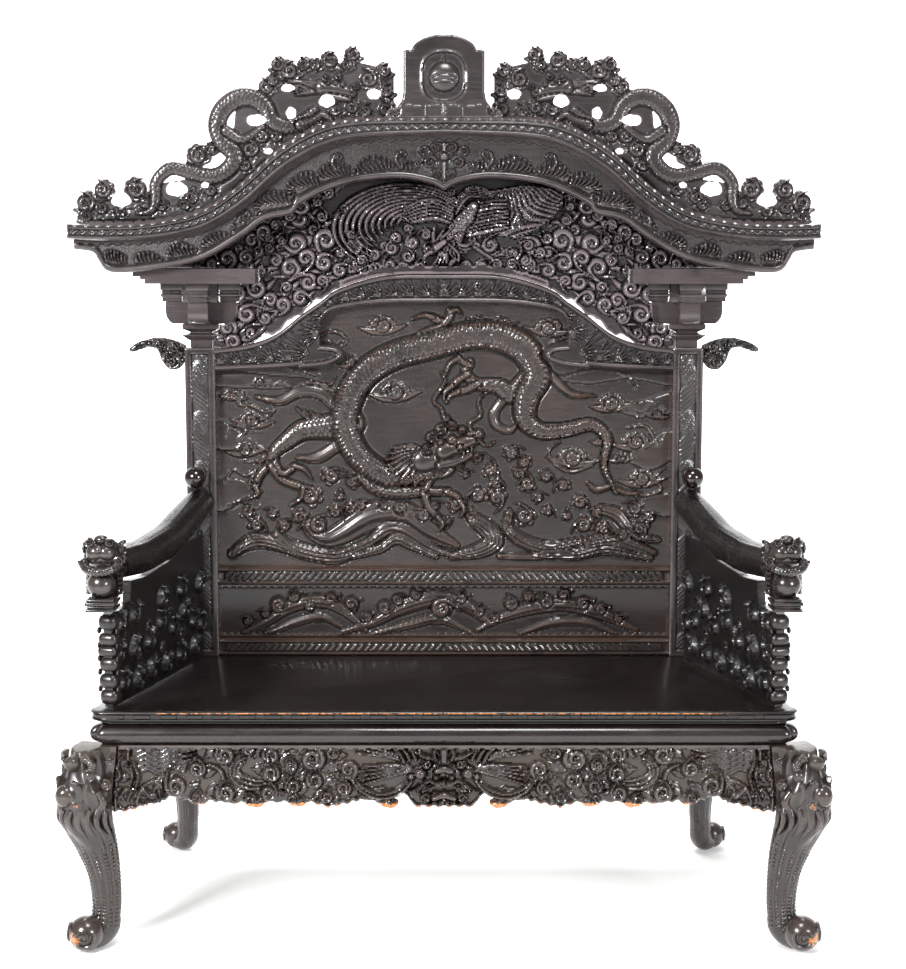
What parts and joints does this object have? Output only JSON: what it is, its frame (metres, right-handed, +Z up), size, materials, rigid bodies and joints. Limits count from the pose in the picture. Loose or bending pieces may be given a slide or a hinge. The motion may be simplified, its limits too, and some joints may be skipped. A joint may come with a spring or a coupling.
{
  "type": "throne",
  "caption": "Canopied hall throne of carved dark hardwood on cabriole legs, with dragon arms, a carved panelled back, an undulating gable and a pierced crest.",
  "frame": {"origin": "on the floor under the middle of the throne", "axes": "+X to the right seen from the front, +Y to the back so that the sitter faces -Y, +Z up"},
  "size_m": [1.491, 0.7035, 1.7288],
  "materials": {
    "lacquered_hardwood": "dark brown-black lacquer over carved hardwood, satin, with rubbed highlights",
    "red_brown_hardwood": "red-brown stained and waxed carved hardwood, satin",
    "polished_seat_wood": "near-black polished hardwood, glossy, finely scratched"
  },
  "bodies": {
    "root": {"apron_back": "lacquered_hardwood", "apron_front": "lacquered_hardwood", "apron_left": "lacquered_hardwood", "apron_right": "lacquered_hardwood", "arch_rail": "lacquered_hardwood", "arm_knob_left": "polished_seat_wood", "arm_knob_right": "polished_seat_wood", "arm_left": "lacquered_hardwood", "arm_panel_left": "lacquered_hardwood", "arm_panel_right": "lacquered_hardwood", "arm_right": "lacquered_hardwood", "bargeboard": "lacquered_hardwood", "bearing_block_back_left": "lacquered_hardwood", "bearing_block_back_right": "lacquered_hardwood", "bearing_block_front_left": "lacquered_hardwood", "bearing_block_front_right": "lacquered_hardwood", "bearing_block_inner_left": "lacquered_hardwood", "bearing_block_inner_right": "lacquered_hardwood", "bearing_block_outer_left": "lacquered_hardwood", "bearing_block_outer_right": "lacquered_hardwood", "bracket_left": "lacquered_hardwood", "bracket_right": "lacquered_hardwood", "canopy_beam_left": "lacquered_hardwood", "canopy_beam_right": "lacquered_hardwood", "capital_left": "lacquered_hardwood", "capital_right": "lacquered_hardwood", "crest_left": "lacquered_hardwood", "crest_right": "lacquered_hardwood", "finial": "lacquered_hardwood", "gable_board": "lacquered_hardwood", "leg_back_left": "lacquered_hardwood", "leg_back_right": "lacquered_hardwood", "leg_front_left": "lacquered_hardwood", "leg_front_right": "lacquered_hardwood", "nosing_left": "lacquered_hardwood", "nosing_right": "lacquered_hardwood", "panel_dragon": "red_brown_hardwood", "panel_phoenix": "lacquered_hardwood", "panel_waves": "red_brown_hardwood", "post_left": "lacquered_hardwood", "post_right": "lacquered_hardwood", "rail_bottom": "red_brown_hardwood", "rail_mid": "red_brown_hardwood", "roof_board": "lacquered_hardwood", "roof_edge_left": "lacquered_hardwood", "roof_edge_right": "lacquered_hardwood", "seat_board": "polished_seat_wood", "waist_back": "lacquered_hardwood", "waist_front": "lacquered_hardwood", "waist_left": "lacquered_hardwood", "waist_right": "lacquered_hardwood"}
  },
  "joints": []
}
